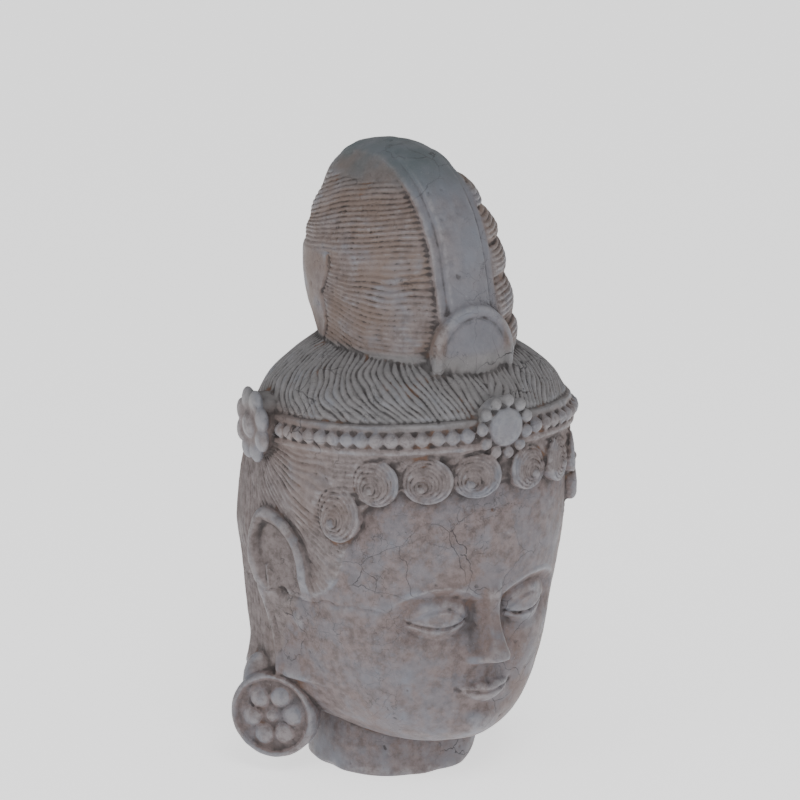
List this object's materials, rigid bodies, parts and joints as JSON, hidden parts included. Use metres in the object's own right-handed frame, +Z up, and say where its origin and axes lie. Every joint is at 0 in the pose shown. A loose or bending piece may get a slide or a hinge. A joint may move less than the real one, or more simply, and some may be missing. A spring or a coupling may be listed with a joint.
{
  "type": "bodhisattva head sculpture",
  "caption": "Carved stone bodhisattva head with a tall banded topknot, beaded tiara with rosettes, spiral curls, long ears with disc earrings and a neck cut flat below.",
  "frame": {"origin": "centre of the neck's flat underside", "axes": "+Z up through the topknot, -Y the way the face looks, +X the figure's left"},
  "size_m": [0.4347, 0.4436, 0.8003],
  "materials": {
    "stone": "weathered carved stone, matt, with a soft worn sheen on the raised places"
  },
  "bodies": {
    "root": {"bodhisattva_head": "stone"}
  },
  "joints": []
}
